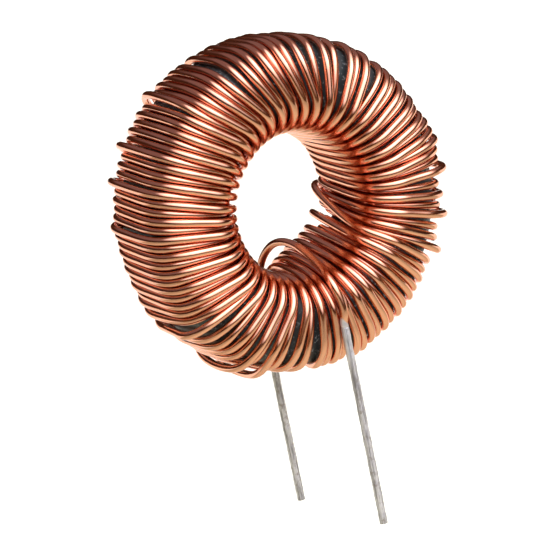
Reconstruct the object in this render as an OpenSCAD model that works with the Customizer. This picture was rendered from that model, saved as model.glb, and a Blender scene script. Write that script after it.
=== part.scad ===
// Toroidal inductor: a coated ring core wound with one length of enamelled
// copper wire. The two stripped and tinned ends of the wire run straight down
// as board leads. Lengths are millimetres. The origin lies on the board's top
// face, midway between the leads. The core's axis lies along Y and its front
// face looks towards -Y.

/* [Core] */
// Outer diameter of the coated core
core_od = 33.6; // [33.4:0.1:35]
// Bore diameter of the coated core
core_id = 17.8; // [17.6:0.1:18]
// Height of the core along its axis
core_h = 11.4; // [10.5:0.1:11.6]
// Radius of the rounded core edges
core_edge_r = 3; // [2.6:0.05:3.2]

/* [Wire] */
// Diameter over the enamel
wire_d = 0.86; // [0.7:0.01:0.86]
// Clearance between the wire and the core
seat = 0.02; // [0.01:0.01:0.05]
// Largest random rise of a turn off its seat
rise = 0.12; // [0:0.02:0.14]

/* [Leads] */
// Height of the core's axis over the board
axis_z = 17.9; // [17.9:0.1:20]
// Diameter of the tinned lead where it passes the board
lead_d = 0.86; // [0.7:0.01:0.86]
// Diameter of the tinned lead at its root, where it leaves the winding
lead_root_d = 0.9; // [0.8:0.01:0.92]
// Length of the front lead below the board
front_lead_l = 17; // [3:0.1:25]
// Length of the rear lead below the board
rear_lead_l = 16.2; // [3:0.1:25]
// Place of the front lead to the right of the core's axis
front_lead_x = 0.6; // [0.5:0.05:0.7]
// Place of the rear lead to the right of the core's axis
rear_lead_x = -1.3; // [-1.4:0.05:-1.2]

/* [Hidden] */
// Turn of the wound ring about its axis, in degrees from the leads' upright
ring_turn = 1.8;
// Turns lie in runs with bare core between them.
// Each row is the count, then the first and last place on the outer front edge,
// in degrees clockwise from the bottom as seen from the front.
runs = [
    [1, 11.8, 11.8], [1, 17.4, 17.4], [1, 22.5, 22.5], [4, 28, 38], [2, 42, 46], [2, 51, 55],
    [31, 60, 154.5], [3, 160, 168], [4, 172, 182], [1, 186.5, 186.5], [1, 192.5, 192.5], [2, 198, 203],
    [3, 210, 217.5], [14, 225, 270], [7, 275.5, 299.5], [13, 304.5, 349], [4, 354.5, 365]
];
// Place of a turn on the bore's front edge, by turn number
bore_knots = [
    [0, 9.5], [2, 20], [3, 23.5], [11, 54.5], [20, 84.5], [25, 102], [29, 118], [36, 145], [41, 163],
    [45, 180], [50, 199], [55, 218.5], [63, 250], [69, 270.5], [76, 300], [82, 322.5], [89, 351],
    [94, 370]
];
// Degrees by which a turn leans across the outside, by turn number
slant_knots = [[0, 1], [10, 1], [12, 2.9], [32, 2.2], [62, 2], [93, -8]];
// Degrees by which a turn leans through the bore, by turn number
lean_knots = [[0, 4], [47, 4], [77, 10], [94, 10]];
// Thickness of each layer's pile on the bore's back edge, by turn number
pile_knots = [[0, 0], [76, 0], [80, 0.48], [84, 0.64], [86, 0.72], [90, 0.5], [94, 0]];
// Share of the upper layer's rise in the bore, less where turns lie apart and sink between the lower ones
nest_knots = [[0, 1], [35, 1], [39, 0.87], [60, 0.87], [66, 1]];

// Stations that a turn passes: 0 and 1 bore front edge, 2 front face, 3 and 4 outer
// front edge, 5 outside, 6 and 7 outer back edge, 8 back face, 9 and 10 bore back edge.
radial_side = [-1, -1, 0, 1, 1, 1, 1, 1, 0, -1, -1];
axial_side = [-1, -1, -1, -1, -1, 0, 1, 1, 1, 1, 1];
steep = [true, false, false, false, true, true, true, false, false, false, true];
// Every second pass through the bore lies on the upper layer, raised this much
upper_rise = [0.76, 0.84, 0.62, 0.28, 0.08, 0.08, 0.08, 0.36, 0.66, 0.84, 0.76];

// Loose turns, as turn, station, shift in degrees and rise in millimetres
strays = [
    [3, 3, 0, 0.25], [3, 4, -1, 0.6], [3, 5, -3, 1.3], [3, 6, -2, 0.7], [3, 7, -1.5, 0.4],
    [5, 3, 0, 0.3], [5, 4, 0, 0.7], [5, 5, -0.5, 1.3], [5, 6, 0, 0.4], [5, 7, 0, 0.3],
    [6, 4, 0, 0.2],
    [8, 4, 0, 0.2],
    [9, 4, 0, 0.3],
    [10, 3, 2, 0.8], [10, 4, 2.5, 1.4], [10, 5, 1, 0.95], [10, 6, -0.9, 0.2], [10, 7, -0.9, 0.3],
    [11, 5, 0, 0.5], [11, 6, 0, 0.4],
    [12, 5, 0, 0.2], [12, 6, 0, 0.2],
    [21, 4, 0, 0.3], [21, 6, 0, 0.6],
    [26, 3, 0, 0.1], [26, 4, 0, 0.5], [26, 6, 0, 0.8], [26, 7, 0, 0.1],
    [30, 3, 0, 0.1], [30, 4, 0, 0.5], [30, 6, 0, 0.8], [30, 7, 0, 0.1],
    [36, 3, 0, 0.1], [36, 4, 0, 0.6], [36, 6, 0.8, 0.55], [36, 7, 0.8, 0.6], [36, 8, 0, 0.25],
    [63, 4, 0, 0.1],
    [64, 4, 0, 0.55],
    [65, 4, 0, 0.5],
    [66, 3, 0, 0.5], [66, 4, 0, 0.9],
    [67, 4, 0, 0.4],
    [68, 4, 0, 0.4],
    [69, 3, 0, 0.5], [69, 4, 0, 0.9], [69, 6, 0, 0.5],
    [71, 4, 0, 0.3],
    [73, 3, -0.6, 0.4], [73, 4, -1.2, 0.9], [73, 6, 0, 0.4],
    [76, 3, 0, 0.5], [76, 4, 0, 1.1], [76, 6, -1, 0.6], [76, 7, -3, 0.9], [76, 8, 0, 0.95],
    [76, 9, -20, 0.9], [76, 10, -20, 0.8],
    [77, 0, 0, 0.9], [77, 1, 0, 0.6], [77, 2, 0, 0.3],
    [78, 6, -1, 0.6], [78, 7, -3, 0.9], [78, 8, 0, 0.95], [78, 9, -6, 0.5], [78, 10, -6, 0.4],
    [79, 0, 0, 0.9], [79, 1, 0, 0.6], [79, 2, 0, 0.3],
    [88, 4, 0, 0.4],
    [89, 4, 0, 0.25]
];

// Where the wire turns into the tinned leads, from the core's centre
rear_lead_y = 6.17;
front_lead_y = -7.4;
rear_lead_z = -13;
front_lead_z = -13.1;
// Loose last pass, from the back face through the bore and down the front face
last_pass = [
    [-0.1, 6.25, -12.15], [-0.65, 6.75, -9], [-0.28, 5.9, -6.7], [0.2, 4.1, -5.1], [0.5, 2, -4.6],
    [0.8, 0, -4.9], [0.85, -1.5, -5.5], [0.8, -3.2, -6.2], [0.6, -5, -6.95], [0.3, -6.5, -7.7],
    [0.28, -7.5, -8.7], [0.65, -7.8, -10.45], [0.7, -7.75, -11.7]
];
tip_chamfer = 0.12;
bend = 0.7;
sides = 6;
half = 22.5;
wire_r = wire_d / 2;

function sum(v) = v * [for (i = v) 1];
turns = sum([for (r = runs) r[0]]);
// Repeatable scatter from 0 to 1
function scatter(i) = let (v = sin(i * 127.1 + 311.7) * 43758.5453) v - floor(v);
function unit(v) = v / norm(v);
// Point at an angle clockwise from the bottom, a radius and a place along the axis.
// The core's centre is the origin here, and on_board() carries it to the board.
function around(a, rho, y) = [-rho * sin(a + ring_turn), y, -rho * cos(a + ring_turn)];

// Run that holds turn k, counted from run i whose first turn is number n
function run_angle(k, i = 0, n = 0) =
    let (r = runs[i])
    k < n + r[0] || i == len(runs) - 1
        ? r[1] + (r[2] - r[1]) * (k - n) / max(1, r[0] - 1)
        : run_angle(k, i + 1, n + r[0]);

function is_upper(pass) = (pass % 2) != 0;
// Bore pass to which a station of turn k belongs
function pass_of(k, j) = j < 6 ? k : k + 1;
function stray_rows(k, j) = [for (s = strays) if (s[0] == k && s[1] == j) s];
function stray_shift(k, j) = let (s = stray_rows(k, j)) len(s) > 0 ? s[0][2] : 0;
function stray_rise(k, j) = let (s = stray_rows(k, j)) len(s) > 0 ? s[0][3] : 0;

function station_angle(k, j) =
    stray_shift(k, j) + (
        j < 2 ? lookup(k, bore_knots) :
        j < 5 ? run_angle(k) :
        j < 8 ? run_angle(k) + lookup(k, slant_knots) :
        lookup(k + 1, bore_knots) - lookup(k + 1, lean_knots));
function station_rise(k, j) =
    (is_upper(pass_of(k, j)) ? upper_rise[j] * (radial_side[j] < 0 ? lookup(k, nest_knots) : 1) : 0)
    + (abs(j - 5) < 2 ? rise : rise / 3) * scatter(11 * k + j)
    + (j > 8 ? lookup(k, pile_knots) * (is_upper(pass_of(k, j)) ? 2 : 1) : 0)
    + stray_rise(k, j);

// Edge stations lie on an octagon round the rounded core edge, so no chord cuts it
function edge_point(j, a, lift) =
    let (reach = (core_edge_r + wire_r + seat + lift) / cos(half))
    let (out = steep[j] ? cos(half) : sin(half))
    let (along = steep[j] ? sin(half) : cos(half))
    let (rho = radial_side[j] < 0 ? core_id / 2 + core_edge_r : core_od / 2 - core_edge_r)
    around(a, rho + radial_side[j] * reach * out, axial_side[j] * (core_h / 2 - core_edge_r + reach * along));
function face_point(k, j) =
    let (middle = (station(k, j - 1) + station(k, j + 1)) / 2)
    [middle[0], axial_side[j] * (core_h / 2 + wire_r + seat + station_rise(k, j)), middle[2]];
function outside_point(k) =
    let (a = (station_angle(k, 4) + station_angle(k, 6)) / 2 + stray_shift(k, 5))
    around(a, core_od / 2 + wire_r + seat + stray_rise(k, 5), 0);
function station(k, j) =
    j == 5 ? outside_point(k) :
    radial_side[j] == 0 ? face_point(k, j) :
    edge_point(j, station_angle(k, j), station_rise(k, j));

// Middle stations are passed only by raised or loose turns
function passes(k, j) =
    j == 5 ? len(stray_rows(k, j)) > 0 :
    radial_side[j] != 0 || is_upper(pass_of(k, j)) || len(stray_rows(k, j)) > 0;
function turn_points(k) =
    [for (j = [0:(k == turns - 1 ? 7 : 10)]) if (passes(k, j)) station(k, j)];

rear_root = [rear_lead_x, rear_lead_y, rear_lead_z];
front_root = [front_lead_x, front_lead_y, front_lead_z];
rise_z = [0, 0, bend];
wire_path = concat(
    [rear_root, rear_root + rise_z, station(-1, 9), station(-1, 10)],
    [for (k = [0:turns - 1]) each turn_points(k)],
    last_pass,
    [front_root + rise_z, front_root]);

// Ring of corners across the wire at path point i, mitred where the path bends
function ring(i) =
    let (p = wire_path[i], last = len(wire_path) - 1)
    let (before = unit(i > 0 ? p - wire_path[i - 1] : wire_path[1] - p))
    let (after = unit(i < last ? wire_path[i + 1] - p : p - wire_path[last - 1]))
    let (t = unit(before + after))
    let (away = p - unit([p[0], 0, p[2]]) * (core_od + core_id) / 4)
    let (n = unit(away - (away * t) * t), b = cross(t, n))
    let (mitre = 1 / max(0.85, before * t))
    [for (s = [0:sides - 1]) p + wire_r * (cos(360 * s / sides) * mitre * n + sin(360 * s / sides) * b)];

module on_board() {
    translate([-(front_root[0] + rear_root[0]) / 2, -(front_root[1] + rear_root[1]) / 2, axis_z])
        children();
}

// Rounded rectangle, centred, made from two bars and four corner discs
module rounded_section(w, h, r) {
    square([w, h - 2 * r], center = true);
    square([w - 2 * r, h], center = true);
    for (x = [-1, 1], y = [-1, 1])
        translate([x * (w / 2 - r), y * (h / 2 - r)])
            circle(r = r, $fn = 48);
}

module core() {
    color([0.18, 0.24, 0.24])
        on_board()
            rotate([90, 0, 0])
                rotate_extrude($fn = 180)
                    translate([(core_od + core_id) / 4, 0])
                        rounded_section((core_od - core_id) / 2, core_h, core_edge_r);
}

module winding() {
    rings = [for (i = [0:len(wire_path) - 1]) each ring(i)];
    n = len(wire_path);
    walls = [
        for (i = [0:n - 2], s = [0:sides - 1])
            let (a = i * sides + s, b = i * sides + (s + 1) % sides)
            each [[a, b + sides, b], [a, a + sides, b + sides]]
    ];
    caps = [[for (s = [0:sides - 1]) s], [for (s = [sides - 1:-1:0]) (n - 1) * sides + s]];
    color([0.72, 0.36, 0.2])
        on_board()
            polyhedron(points = rings, faces = concat(walls, caps), convexity = 20);
}

// Straight tinned lead that tapers from its root to the board, then runs down to a square-cut tip
module lead(root, length) {
    on_board()
        translate([root[0], root[1], -axis_z]) {
            cylinder(d1 = lead_d, d2 = lead_root_d, h = axis_z + root[2], $fn = 32);
            translate([0, 0, tip_chamfer - length])
                cylinder(d = lead_d, h = length - tip_chamfer, $fn = 32);
            translate([0, 0, -length])
                cylinder(d1 = lead_d - 2 * tip_chamfer, d2 = lead_d, h = tip_chamfer, $fn = 32);
        }
}

module front_lead() {
    color([0.74, 0.72, 0.69])
        lead(front_root, front_lead_l);
}

module rear_lead() {
    color([0.74, 0.72, 0.69])
        lead(rear_root, rear_lead_l);
}

core();
winding();
front_lead();
rear_lead();
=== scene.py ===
"""Toroidal inductor dressed for rendering: smooth enamelled wire, dipped leads, a coated core."""

import math

import bpy
import numpy as np
from mathutils import Matrix, Vector


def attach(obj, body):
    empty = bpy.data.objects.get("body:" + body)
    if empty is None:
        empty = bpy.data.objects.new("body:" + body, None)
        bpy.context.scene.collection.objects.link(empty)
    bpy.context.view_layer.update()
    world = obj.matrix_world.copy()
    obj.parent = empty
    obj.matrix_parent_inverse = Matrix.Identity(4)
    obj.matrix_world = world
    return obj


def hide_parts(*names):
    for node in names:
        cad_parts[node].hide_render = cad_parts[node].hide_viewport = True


MM = 0.001
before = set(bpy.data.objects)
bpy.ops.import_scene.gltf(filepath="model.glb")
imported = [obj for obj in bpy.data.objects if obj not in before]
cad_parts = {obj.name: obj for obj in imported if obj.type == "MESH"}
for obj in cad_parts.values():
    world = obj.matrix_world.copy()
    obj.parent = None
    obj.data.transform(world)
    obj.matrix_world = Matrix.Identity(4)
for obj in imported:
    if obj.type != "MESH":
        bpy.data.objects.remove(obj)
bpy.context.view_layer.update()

# Sizes in millimetres, as in the part's source, with the core's centre as the path's origin.
CORE_OD, CORE_ID, CORE_H, CORE_EDGE_R = 33.6, 17.8, 11.4, 3.0
WIRE_D, SEAT, RISE = 0.86, 0.02, 0.12
WIRE_R = WIRE_D / 2
AXIS_Z = 17.9
FRONT_ROOT = np.array([0.6, -7.4, -13.1])
REAR_ROOT = np.array([-1.3, 6.17, -13.0])
BEND = np.array([0.0, 0.0, 0.7])
LEAD_LENGTHS = {"front_lead": 17.0, "rear_lead": 16.2}
RING_TURN = 1.8  # degrees by which the whole winding is turned
CENTRE = np.array([
    -(FRONT_ROOT[0] + REAR_ROOT[0]) / 2,
    -(FRONT_ROOT[1] + REAR_ROOT[1]) / 2,
    AXIS_Z,
])

# Runs of turns: count, first and last place on the outer front edge, degrees clockwise from below.
RUNS = [
    (1, 11.8, 11.8), (1, 17.4, 17.4), (1, 22.5, 22.5), (4, 28, 38), (2, 42, 46), (2, 51, 55),
    (31, 60, 154.5), (3, 160, 168), (4, 172, 182), (1, 186.5, 186.5), (1, 192.5, 192.5),
    (2, 198, 203), (3, 210, 217.5), (14, 225, 270), (7, 275.5, 299.5), (13, 304.5, 349),
    (4, 354.5, 365),
]
TURNS = sum(run[0] for run in RUNS)
# By turn number, in degrees: place on the bore's front edge, lean over the outside and in the bore.
BORE_KNOTS = [
    (0, 9.5), (2, 20), (3, 23.5), (11, 54.5), (20, 84.5), (25, 102), (29, 118), (36, 145),
    (41, 163), (45, 180), (50, 199), (55, 218.5), (63, 250), (69, 270.5), (76, 300),
    (82, 322.5), (89, 351), (94, 370),
]
SLANT_KNOTS = [(0, 1), (10, 1), (12, 2.9), (32, 2.2), (62, 2), (93, -8)]
LEAN_KNOTS = [(0, 4), (47, 4), (77, 10), (94, 10)]
# By turn number: each layer's pile on the bore's back edge, share of the upper layer's rise.
PILE_KNOTS = [(0, 0), (76, 0), (80, 0.48), (84, 0.64), (86, 0.72), (90, 0.5), (94, 0)]
NEST_KNOTS = [(0, 1), (35, 1), (39, 0.87), (60, 0.87), (66, 1)]
# Stations of a turn: 0-1 bore front edge, 2 front face, 3-4 outer front edge, 5 outside,
# 6-7 outer back edge, 8 back face, 9-10 bore back edge.
FRONT_FACE, OUTSIDE, BACK_FACE, LAST_STATION = 2, 5, 8, 10
RADIAL_SIDE = [-1, -1, 0, 1, 1, 1, 1, 1, 0, -1, -1]
AXIAL_SIDE = [-1, -1, -1, -1, -1, 0, 1, 1, 1, 1, 1]
WALL_SIDE = {0, 4, 6, 10}  # of an edge's two stations, the ones nearer its wall than its face
# The upper layer's rise at each station.
UPPER_RISE = [0.76, 0.84, 0.62, 0.28, 0.08, 0.08, 0.08, 0.36, 0.66, 0.84, 0.76]
# Half the angle between the two stations on an edge of the core.
EDGE_HALF = math.radians(22.5)
# Loose turns: (turn, station): (shift in degrees, rise).
STRAYS = {
    (3, 3): (0, 0.25), (3, 4): (-1, 0.6), (3, 5): (-3, 1.3), (3, 6): (-2, 0.7),
    (3, 7): (-1.5, 0.4), (5, 3): (0, 0.3), (5, 4): (0, 0.7), (5, 5): (-0.5, 1.3),
    (5, 6): (0, 0.4), (5, 7): (0, 0.3), (6, 4): (0, 0.2), (8, 4): (0, 0.2), (9, 4): (0, 0.3),
    (10, 3): (2, 0.8), (10, 4): (2.5, 1.4), (10, 5): (1, 0.95), (10, 6): (-0.9, 0.2),
    (10, 7): (-0.9, 0.3), (11, 5): (0, 0.5), (11, 6): (0, 0.4), (12, 5): (0, 0.2),
    (12, 6): (0, 0.2), (21, 4): (0, 0.3), (21, 6): (0, 0.6), (26, 3): (0, 0.1),
    (26, 4): (0, 0.5), (26, 6): (0, 0.8), (26, 7): (0, 0.1), (30, 3): (0, 0.1),
    (30, 4): (0, 0.5), (30, 6): (0, 0.8), (30, 7): (0, 0.1), (36, 3): (0, 0.1),
    (36, 4): (0, 0.6), (36, 6): (0.8, 0.55), (36, 7): (0.8, 0.6), (36, 8): (0, 0.25),
    (63, 4): (0, 0.1), (64, 4): (0, 0.55), (65, 4): (0, 0.5), (66, 3): (0, 0.5),
    (66, 4): (0, 0.9), (67, 4): (0, 0.4), (68, 4): (0, 0.4), (69, 3): (0, 0.5),
    (69, 4): (0, 0.9), (69, 6): (0, 0.5), (71, 4): (0, 0.3), (73, 3): (-0.6, 0.4),
    (73, 4): (-1.2, 0.9), (73, 6): (0, 0.4), (76, 3): (0, 0.5), (76, 4): (0, 1.1),
    (76, 6): (-1, 0.6), (76, 7): (-3, 0.9), (76, 8): (0, 0.95), (76, 9): (-20, 0.9),
    (76, 10): (-20, 0.8), (77, 0): (0, 0.9), (77, 1): (0, 0.6), (77, 2): (0, 0.3),
    (78, 6): (-1, 0.6), (78, 7): (-3, 0.9), (78, 8): (0, 0.95), (78, 9): (-6, 0.5),
    (78, 10): (-6, 0.4), (79, 0): (0, 0.9), (79, 1): (0, 0.6), (79, 2): (0, 0.3),
    (88, 4): (0, 0.4), (89, 4): (0, 0.25),
}
NOT_STRAY = (0, 0)
# Loose last pass, from the back face through the bore and down the front face.
LAST_PASS = [
    (-0.1, 6.25, -12.15), (-0.65, 6.75, -9), (-0.28, 5.9, -6.7), (0.2, 4.1, -5.1),
    (0.5, 2, -4.6), (0.8, 0, -4.9), (0.85, -1.5, -5.5), (0.8, -3.2, -6.2), (0.6, -5, -6.95),
    (0.3, -6.5, -7.7), (0.28, -7.5, -8.7), (0.65, -7.8, -10.45), (0.7, -7.75, -11.7),
]

# Mesh of the wire and the leads.
WIRE_SIDES, WIRE_CORNER_SAMPLES = 12, 7
LEAD_SIDES, LEAD_RINGS = 20, 220
LEAD_R = 0.99 * WIRE_R
# Unevenness of the dipped leads: height, and radians of its wave per millimetre.
LONG_LUMPS, SHORT_LUMPS = (0.012, 2.1), (0.01, 5.3)
# Corners that turn by less than 60 degrees are slight. Points closer than SAME_POINT are merged.
SLIGHT_COSINE = 0.5
SAME_POINT = 1e-4


def knot(x, knots):
    return float(np.interp(x, [k[0] for k in knots], [k[1] for k in knots]))


def scatter(i):
    """Repeatable scatter from 0 to 1."""
    v = math.sin(math.radians(i * 127.1 + 311.7)) * 43758.5453
    return v - math.floor(v)


def around(a, rho, y):
    """Point at an angle clockwise from the bottom, a radius and a place along the axis."""
    a = math.radians(a + RING_TURN)
    return np.array([-rho * math.sin(a), y, -rho * math.cos(a)])


def run_angle(turn):
    first = 0
    for count, start, end in RUNS:
        if turn < first + count:
            return start + (end - start) * (turn - first) / max(1, count - 1)
        first += count


def is_upper(turn, j):
    """Every second pass through the bore lies on the upper layer."""
    return (turn if j <= OUTSIDE else turn + 1) % 2 != 0


def station_angle(turn, j):
    if j < FRONT_FACE:
        base = knot(turn, BORE_KNOTS)
    elif j < OUTSIDE:
        base = run_angle(turn)
    elif j < BACK_FACE:
        base = run_angle(turn) + knot(turn, SLANT_KNOTS)
    else:
        base = knot(turn + 1, BORE_KNOTS) - knot(turn + 1, LEAN_KNOTS)
    return base + STRAYS.get((turn, j), NOT_STRAY)[0]


def station_rise(turn, j):
    upper = is_upper(turn, j)
    layer = UPPER_RISE[j] if upper else 0
    if RADIAL_SIDE[j] < 0:
        layer *= knot(turn, NEST_KNOTS)
    pile = knot(turn, PILE_KNOTS) * (2 if upper else 1) if j > BACK_FACE else 0
    loose = (RISE if abs(j - OUTSIDE) < 2 else RISE / 3) * scatter(11 * turn + j)
    return layer + pile + loose + STRAYS.get((turn, j), NOT_STRAY)[1]


def station(turn, j):
    if j == OUTSIDE:
        shift, rise = STRAYS[turn, j]
        a = (station_angle(turn, j - 1) + station_angle(turn, j + 1)) / 2 + shift
        return around(a, CORE_OD / 2 + WIRE_R + SEAT + rise, 0)
    if RADIAL_SIDE[j] == 0:
        middle = (station(turn, j - 1) + station(turn, j + 1)) / 2
        middle[1] = AXIAL_SIDE[j] * (CORE_H / 2 + WIRE_R + SEAT + station_rise(turn, j))
        return middle
    reach = (CORE_EDGE_R + WIRE_R + SEAT + station_rise(turn, j)) / math.cos(EDGE_HALF)
    out, along = math.cos(EDGE_HALF), math.sin(EDGE_HALF)
    if j not in WALL_SIDE:
        out, along = along, out
    rho = CORE_ID / 2 + CORE_EDGE_R if RADIAL_SIDE[j] < 0 else CORE_OD / 2 - CORE_EDGE_R
    y = AXIAL_SIDE[j] * (CORE_H / 2 - CORE_EDGE_R + reach * along)
    return around(station_angle(turn, j), rho + RADIAL_SIDE[j] * reach * out, y)


def passes(turn, j):
    """Middle stations are passed only by raised or loose turns."""
    if j == OUTSIDE:
        return (turn, j) in STRAYS
    return RADIAL_SIDE[j] != 0 or is_upper(turn, j) or (turn, j) in STRAYS


def wire_path():
    points = [REAR_ROOT, REAR_ROOT + BEND]
    points += [station(-1, j) for j in range(BACK_FACE + 1, LAST_STATION + 1)]
    for turn in range(TURNS):
        last = BACK_FACE - 1 if turn == TURNS - 1 else LAST_STATION
        points += [station(turn, j) for j in range(last + 1) if passes(turn, j)]
    points += [np.array(p, float) for p in LAST_PASS]
    points += [FRONT_ROOT + BEND, FRONT_ROOT]
    return np.array(points)


def rounded(points, samples):
    """The same path with its corners rounded, and slight ones further along their longer side."""
    out = [points[0]]
    for before, corner, after in zip(points, points[1:], points[2:]):
        to_before, to_after = before - corner, after - corner
        sides = np.linalg.norm(to_before), np.linalg.norm(to_after)
        slight = -to_before.dot(to_after) > SLIGHT_COSINE * sides[0] * sides[1]
        reach = [min(side / 2, min(sides) * (1 if slight else 0.5)) for side in sides]
        a = corner + to_before / sides[0] * reach[0]
        b = corner + to_after / sides[1] * reach[1]
        for t in np.linspace(0, 1, samples):
            out.append((1 - t) ** 2 * a + 2 * t * (1 - t) * corner + t * t * b)
    out.append(points[-1])
    steps = np.linalg.norm(np.diff(out, axis=0), axis=1)
    return np.array(out)[np.concatenate([[True], steps > SAME_POINT])]


def along_path(points):
    """Each point's distance along a path."""
    return np.concatenate([[0], np.cumsum(np.linalg.norm(np.diff(points, axis=0), axis=1))])


def tube(name, points, radii, sides):
    """Closed tube along a path, its rings carried along without twist.

    Its map runs round the tube and along it, in millimetres.
    """
    tangents = np.gradient(points, axis=0)
    tangents /= np.linalg.norm(tangents, axis=1)[:, None]
    normal = np.cross(tangents[0], [1.0, 0.3, 0.2])  # from any direction off the path
    turn = np.linspace(0, 2 * math.pi, sides, endpoint=False)
    verts = []
    for p, t, r in zip(points, tangents, radii):
        normal = normal - normal.dot(t) * t
        normal /= np.linalg.norm(normal)
        side = np.cross(t, normal)
        verts.append(p + r * (np.cos(turn)[:, None] * normal + np.sin(turn)[:, None] * side))
    n = len(points)
    faces = []
    for i in range(n - 1):
        for s in range(sides):
            a, b = i * sides + s, i * sides + (s + 1) % sides
            faces.append((a, b, b + sides, a + sides))
    faces.append(tuple(range(sides - 1, -1, -1)))
    faces.append(tuple((n - 1) * sides + s for s in range(sides)))
    mesh = bpy.data.meshes.new(name)
    mesh.from_pydata([tuple(v) for v in (np.concatenate(verts) + CENTRE) * MM], [], faces)
    mesh.polygons.foreach_set("use_smooth", [len(f) == 4 for f in faces])
    along = along_path(points)
    corners = np.zeros((len(mesh.loops), 2))
    wall = corners[: 4 * (n - 1) * sides].reshape(n - 1, sides, 4, 2)
    wall[..., 0] = (np.arange(sides)[:, None] + [0, 1, 1, 0]) * 2 * math.pi * WIRE_R / sides
    wall[:, :, :2, 1] = along[:-1, None, None]
    wall[:, :, 2:, 1] = along[1:, None, None]
    mesh.uv_layers.new(name="round_and_along").data.foreach_set("uv", corners.ravel())
    mesh.update()
    return placed(name, mesh)


def placed(name, data):
    """A new object in the scene."""
    obj = bpy.data.objects.new(name, data)
    bpy.context.collection.objects.link(obj)
    return obj


class Nodes:
    """A node tree, built link by link."""

    def __init__(self, tree):
        self.tree = tree

    def add(self, kind, **settings):
        node = self.tree.nodes.new(kind)
        for key, value in settings.items():
            setattr(node, key, value)
        return node

    def feed(self, socket, value):
        """Link an output to a socket, or set a constant on it."""
        if isinstance(value, bpy.types.NodeSocket):
            self.tree.links.new(value, socket)
        elif socket.type == "RGBA":
            socket.default_value = (*value, 1)
        else:
            socket.default_value = value

    def operate(self, kind, operation, terms):
        node = self.add(kind, operation=operation)
        for socket, term in zip(node.inputs, terms):
            self.feed(socket, term)
        return node.outputs

    def math(self, operation, *terms):
        return self.operate("ShaderNodeMath", operation, terms)["Value"]

    def vector(self, operation, *terms):
        return self.operate("ShaderNodeVectorMath", operation, terms)["Vector"]

    def measure(self, operation, *terms):
        """A number from vectors, such as their distance."""
        return self.operate("ShaderNodeVectorMath", operation, terms)["Value"]

    def blend(self, share, start, end):
        """From one colour to another, each a Vector."""
        return self.vector("MULTIPLY_ADD", share, end - start, start)

    def split(self, vector):
        node = self.add("ShaderNodeSeparateXYZ")
        self.feed(node.inputs["Vector"], vector)
        return node.outputs

    def spread(self, source, low, high, start=0.3, end=0.7, curve="LINEAR"):
        """Map the range from start to end onto the one from low to high."""
        node = self.add("ShaderNodeMapRange", interpolation_type=curve)
        values = {"From Min": start, "From Max": end, "To Min": low, "To Max": high}
        for key, value in values.items():
            node.inputs[key].default_value = value
        self.feed(node.inputs["Value"], source)
        return node.outputs["Result"]

    def step(self, source, edge):
        """From 0 to 1, smoothly, between the two numbers of an edge."""
        return self.spread(source, 0.0, 1.0, *edge, curve="SMOOTHSTEP")


class Surface(Nodes):
    """A material with one Principled shader."""

    def __init__(self, name):
        self.material = bpy.data.materials.new(name)
        self.material.use_nodes = True
        super().__init__(self.material.node_tree)
        self.shader = self.tree.nodes["Principled BSDF"]
        coordinates = self.add("ShaderNodeTexCoord").outputs
        self.coords, self.map = coordinates["Object"], coordinates["UV"]

    def noise(self, scale, detail=3.0, rough=0.55, coords=None):
        node = self.add("ShaderNodeTexNoise")
        node.inputs["Scale"].default_value = scale
        node.inputs["Detail"].default_value = detail
        node.inputs["Roughness"].default_value = rough
        self.feed(node.inputs["Vector"], coords or self.coords)
        return node.outputs["Fac"]

    def ramp(self, source, stops):
        node = self.add("ShaderNodeValToRGB")
        for _ in range(len(stops) - 2):
            node.color_ramp.elements.new(0.5)
        for element, (place, colour) in zip(node.color_ramp.elements, stops):
            element.position = place
            element.color = (*colour, 1)
        self.feed(node.inputs["Fac"], source)
        return node.outputs["Color"]

    def mix(self, share, a, b):
        node = self.add("ShaderNodeMix", data_type="RGBA")
        self.feed(node.inputs["Factor"], share)
        colours = [socket for socket in node.inputs if socket.type == "RGBA"]
        for socket, colour in zip(colours, (a, b)):
            self.feed(socket, colour)
        return next(socket for socket in node.outputs if socket.type == "RGBA")

    def shade_free_share(self, distance):
        """From 0 in a narrow gap to 1 on an open face: the mask by which shade is painted into
        gaps.
        """
        node = self.add("ShaderNodeAmbientOcclusion", samples=8, only_local=True)
        node.inputs["Distance"].default_value = distance
        return node.outputs["AO"]

    def tinned(self, length):
        """1 where solder has crept up the wire's two ends, further on one side, and 0 elsewhere."""
        round_place, along_place, _ = self.split(self.map)
        angle = self.math("MULTIPLY_ADD", round_place, 1 / WIRE_R, -CREPT_SIDE)
        middle = length / 2
        from_middle = self.math("ABSOLUTE", self.math("SUBTRACT", along_place, middle))
        place = self.math("MULTIPLY_ADD", self.math("COSINE", angle), CREPT_SLANT, from_middle)
        edge = middle - CREPT
        return self.spread(place, 0.0, 1.0, edge - CREPT_BLUR, edge + CREPT_BLUR)

    def bump(self, height, strength):
        node = self.add("ShaderNodeBump")
        node.inputs["Strength"].default_value = strength
        node.inputs["Distance"].default_value = BUMP_DEPTH
        self.feed(node.inputs["Height"], height)
        self.feed(self.shader.inputs["Normal"], node.outputs["Normal"])

    def set(self, **values):
        for key, value in values.items():
            self.feed(self.shader.inputs[key.replace("_", " ")], value)


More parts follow.
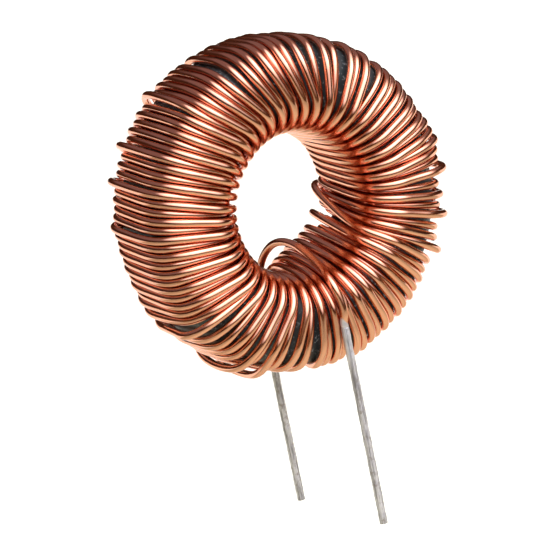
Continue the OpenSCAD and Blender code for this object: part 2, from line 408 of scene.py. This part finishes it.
# Materials: colours are linear, and depths in metres.
BUMP_DEPTH = 0.0001
COPPER_DEEP, COPPER_PALE, COPPER_TINT = (0.84, 0.28, 0.1), (0.95, 0.35, 0.14), (0.9, 0.45, 0.27)
# Painted shade: a darker, redder copper colour put into the gaps between turns, and how far that
# darkening reaches.
PAINTED_SHADE_COPPER, PAINTED_SHADE_REACH = (0.74, 0.13, 0.015), 0.0008
WIRE_LINES_DRAWN_OUT = (1, 1 / 60, 1)
TIN_DARK, TIN_MIDDLE, TIN_PALE = (0.33, 0.32, 0.33), (0.67, 0.66, 0.69), (0.9, 0.89, 0.91)
TIN_STAIN, TIN_METALLIC = (0.3, 0.23, 0.19), 0.6
TIN_LINES_DRAWN_OUT = (1, 1, 0.06)
COATING_DARK, COATING_PALE = (0.024, 0.033, 0.036), (0.042, 0.056, 0.058)
COATING_SCUFF = (0.4, 0.43, 0.43)
# Solder on the wire's ends, in millimetres: how far it has crept, how much further on one side,
# that side's angle in radians, the blur of its edge, and its colour and added roughness.
CREPT, CREPT_SLANT, CREPT_SIDE, CREPT_BLUR = 0.5, 0.62, -0.6, 0.15
CREPT_TIN, CREPT_ROUGHNESS = (0.7, 0.66, 0.74), 0.2


def copper_material(length):
    """Copper under clear enamel, with painted shade that makes it darker and redder in the gaps
    between turns, and tinned at the wire's ends.
    """
    m = Surface("enamelled_copper")
    tone = m.ramp(m.noise(160), [(0.3, COPPER_DEEP), (0.7, COPPER_PALE)])
    drawn_out = m.vector("MULTIPLY", m.map, WIRE_LINES_DRAWN_OUT)
    lines = m.noise(2.5, detail=2, rough=0.6, coords=drawn_out)
    # Painted shade: the copper turns darker and redder where the gap to the next turn is narrow.
    clear_of_shade = m.spread(m.shade_free_share(PAINTED_SHADE_REACH), 0.0, 1.0, start=0.25, end=0.75)
    tinned = m.tinned(length)
    m.set(
        Base_Color=m.mix(tinned, m.mix(clear_of_shade, PAINTED_SHADE_COPPER, tone), CREPT_TIN),
        Metallic=m.math("MULTIPLY_ADD", tinned, TIN_METALLIC - 1, 1.0),
        Roughness=m.math("MULTIPLY_ADD", tinned, CREPT_ROUGHNESS, m.spread(lines, 0.14, 0.3)),
        Specular_Tint=COPPER_TINT,
        Coat_Weight=1.0,
        Coat_Roughness=0.12,
        Coat_IOR=2.7,
    )
    m.bump(lines, 0.3)
    return m.material


def tin_material():
    """Dull solder drawn out in streaks, with a few brown stains."""
    m = Surface("tinned_wire")
    drawn_out = m.vector("MULTIPLY", m.coords, TIN_LINES_DRAWN_OUT)
    lines = m.noise(3600, detail=5, rough=0.7, coords=drawn_out)
    tone = m.ramp(lines, [(0.4, TIN_DARK), (0.5, TIN_MIDDLE), (0.58, TIN_PALE)])
    stains = m.spread(m.noise(1500, detail=6, rough=0.7), 0.0, 0.6, start=0.55, end=0.66)
    m.set(
        Base_Color=m.mix(stains, tone, TIN_STAIN),
        Metallic=TIN_METALLIC,
        Roughness=m.spread(m.noise(1800), 0.34, 0.5),
    )
    m.bump(lines, 0.4)
    return m.material


def core_material():
    """Dark coating with pale scuffs."""
    m = Surface("core_coating")
    scuffs = m.spread(m.noise(2200, detail=8, rough=0.75), 0.0, 1.0, start=0.57, end=0.63)
    tone = m.ramp(m.noise(220), [(0.3, COATING_DARK), (0.7, COATING_PALE)])
    m.set(
        Base_Color=m.mix(scuffs, tone, COATING_SCUFF),
        Roughness=m.spread(m.noise(400), 0.3, 0.5),
        Specular_IOR_Level=0.5,
    )
    m.bump(m.noise(900, detail=5), 0.25)
    return m.material


def paint(obj, material):
    obj.data.materials.clear()
    obj.data.materials.append(material)


def dress(obj, material):
    paint(obj, material)


PATH = rounded(wire_path(), WIRE_CORNER_SAMPLES)
COPPER = copper_material(along_path(PATH)[-1])
TIN = tin_material()
COATING = core_material()

# Winding
winding = tube("wire_winding", PATH, np.full(len(PATH), WIRE_R), WIRE_SIDES)
dress(winding, COPPER)
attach(winding, "root")
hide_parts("winding")

# Leads
for name, root in (("front_lead", FRONT_ROOT), ("rear_lead", REAR_ROOT)):
    heights = np.linspace(root[2], -AXIS_Z - LEAD_LENGTHS[name], LEAD_RINGS)
    points = np.array([[root[0], root[1], z] for z in heights])
    lumps = LONG_LUMPS[0] * np.sin(LONG_LUMPS[1] * heights + root[1])
    lumps += SHORT_LUMPS[0] * np.sin(SHORT_LUMPS[1] * heights)
    lead = tube(name + "_dipped", points, LEAD_R + lumps, LEAD_SIDES)
    dress(lead, TIN)
    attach(lead, "root")
    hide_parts(name)

# Core
paint(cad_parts["core"], COATING)


def direction(azimuth, elevation):
    """Unit vector towards an azimuth from the front and an elevation, both in degrees."""
    a, e = math.radians(azimuth), math.radians(elevation)
    return Vector((math.sin(a) * math.cos(e), -math.cos(a) * math.cos(e), math.sin(e)))


# Camera: where the photograph was taken from, aimed so that the ring is above the frame's middle.
VIEW_AZIMUTH, VIEW_ELEVATION, VIEW_ROLL = -28.78, 11.6, 11.448
VIEW_DISTANCE = 278.4
FRAME_PX, FOCAL_PX = 560, 2650
CORE_PX = (279.4, 202)
SENSOR = 36
back = direction(VIEW_AZIMUTH, VIEW_ELEVATION)
level = direction(VIEW_AZIMUTH + 90, 0)
up = Matrix.Rotation(math.radians(VIEW_ROLL), 3, -back) @ back.cross(level)
right = up.cross(back)
camera = placed("camera", bpy.data.cameras.new("camera"))
bpy.context.scene.camera = camera
camera.data.sensor_width = SENSOR
camera.data.lens = SENSOR * FOCAL_PX / FRAME_PX
camera.data.clip_start, camera.data.clip_end = 0.01, 50
off_right, off_down = [(FRAME_PX / 2 - px) / FOCAL_PX for px in CORE_PX]
aim = (-back + right * off_right - up * off_down).normalized()
right = aim.cross(up).normalized()
up = right.cross(aim)
turned = Matrix((right, up, -aim)).transposed().to_4x4()
camera.matrix_world = Matrix.Translation((Vector(CENTRE) + back * VIEW_DISTANCE) * MM) @ turned

# Floor: a sheet of paper that fills the picture, with a painted pool of light that makes it palest
# under the object and darker round it.
# Behind the object its own light lifts it to white, for the rays that see or mirror it.
FLOOR_Z = -0.06
FLOOR_X, FLOOR_Y = (-1.5, 2.0), (-0.17, 3.0)
PAINTED_LIGHT_MIDDLE, PAINTED_LIGHT_FADE = (0.0, 0.0, FLOOR_Z), (0.03, 0.16)
PAINTED_LIGHT_FLOOR, FLOOR_RIM = Vector((0.85, 0.86, 0.6)), Vector((0.52, 0.52, 0.36))
GLOW_COLOUR, GLOW_STRENGTH, GLOW_EDGE = (0.95, 0.96, 1), 0.85, (0.065, 0.095)


def floor_material():
    material = bpy.data.materials.new("floor_paper")
    material.use_nodes = True
    material.node_tree.nodes.clear()
    n = Nodes(material.node_tree)
    where = n.add("ShaderNodeNewGeometry").outputs["Position"]
    # Painted pool of light: the floor's colour is palest under the object and darker round it.
    outward = n.step(n.measure("DISTANCE", where, PAINTED_LIGHT_MIDDLE), PAINTED_LIGHT_FADE)
    diffuse = n.add("ShaderNodeBsdfDiffuse")
    n.feed(diffuse.inputs["Color"], n.blend(outward, PAINTED_LIGHT_FLOOR, FLOOR_RIM))
    ray = n.add("ShaderNodeLightPath").outputs
    seen = n.math("MAXIMUM", ray["Is Camera Ray"], ray["Is Glossy Ray"])
    seen = n.math("MAXIMUM", seen, ray["Is Transmission Ray"])
    away = Vector((-back.x, -back.y, 0)).normalized()
    behind = n.spread(n.measure("DOT_PRODUCT", where, away), 0.0, GLOW_STRENGTH, *GLOW_EDGE)
    glow = n.add("ShaderNodeEmission")
    n.feed(glow.inputs["Color"], GLOW_COLOUR)
    n.feed(glow.inputs["Strength"], n.math("MULTIPLY", seen, behind))
    both = n.add("ShaderNodeAddShader")
    n.feed(both.inputs[0], diffuse.outputs["BSDF"])
    n.feed(both.inputs[1], glow.outputs["Emission"])
    output = n.add("ShaderNodeOutputMaterial")
    n.feed(output.inputs["Surface"], both.outputs["Shader"])
    return material


floor_mesh = bpy.data.meshes.new("floor")
floor_corners = [(FLOOR_X[i], FLOOR_Y[j], FLOOR_Z) for i, j in ((0, 0), (1, 0), (1, 1), (0, 1))]
floor_mesh.from_pydata(floor_corners, [], [(0, 1, 2, 3)])
floor = placed("floor", floor_mesh)
paint(floor, floor_material())

# World: a dim studio with one broad soft light above the front, whose edge and core are the angles
# at which it ends and is full. The dim surroundings brighten between two heights of the view.
KEY_AZIMUTH, KEY_ELEVATION = 5, 46
KEY_EDGE, KEY_CORE = math.radians(58), math.radians(8)
KEY_COLOUR = (2.5, 2.5, 2.72)
DIM_BELOW, DIM_ABOVE = Vector((0.05, 0.022, 0.014)), Vector((0.22, 0.155, 0.17))
DIM_HEIGHTS = (0.36, 0.56)
world = bpy.data.worlds.new("studio")
bpy.context.scene.world = world
world.use_nodes = True
n = Nodes(world.node_tree)
view = n.add("ShaderNodeTexCoord").outputs["Generated"]
facing = n.measure("DOT_PRODUCT", view, direction(KEY_AZIMUTH, KEY_ELEVATION))
key = n.step(facing, (math.cos(KEY_EDGE), math.cos(KEY_CORE)))
dim = n.blend(n.step(n.split(view)["Z"], DIM_HEIGHTS), DIM_BELOW, DIM_ABOVE)
shade = n.vector("MULTIPLY_ADD", key, KEY_COLOUR, dim)
n.feed(n.tree.nodes["Background"].inputs["Color"], shade)

# Lamp: a square softbox that looks at the core.
LAMP_AZIMUTH, LAMP_ELEVATION, LAMP_DISTANCE = 25, 45, 0.7
lamp = bpy.data.lights.new("key", "AREA")
lamp.size = 0.45
lamp.energy = 0.8
softbox = placed("key", lamp)
towards = direction(LAMP_AZIMUTH, LAMP_ELEVATION)
softbox.location = Vector(CENTRE) * MM + towards * LAMP_DISTANCE
softbox.rotation_mode = "QUATERNION"
softbox.rotation_quaternion = (-towards).to_track_quat("-Z", "Y")

scene = bpy.context.scene
scene.view_settings.view_transform = "Standard"
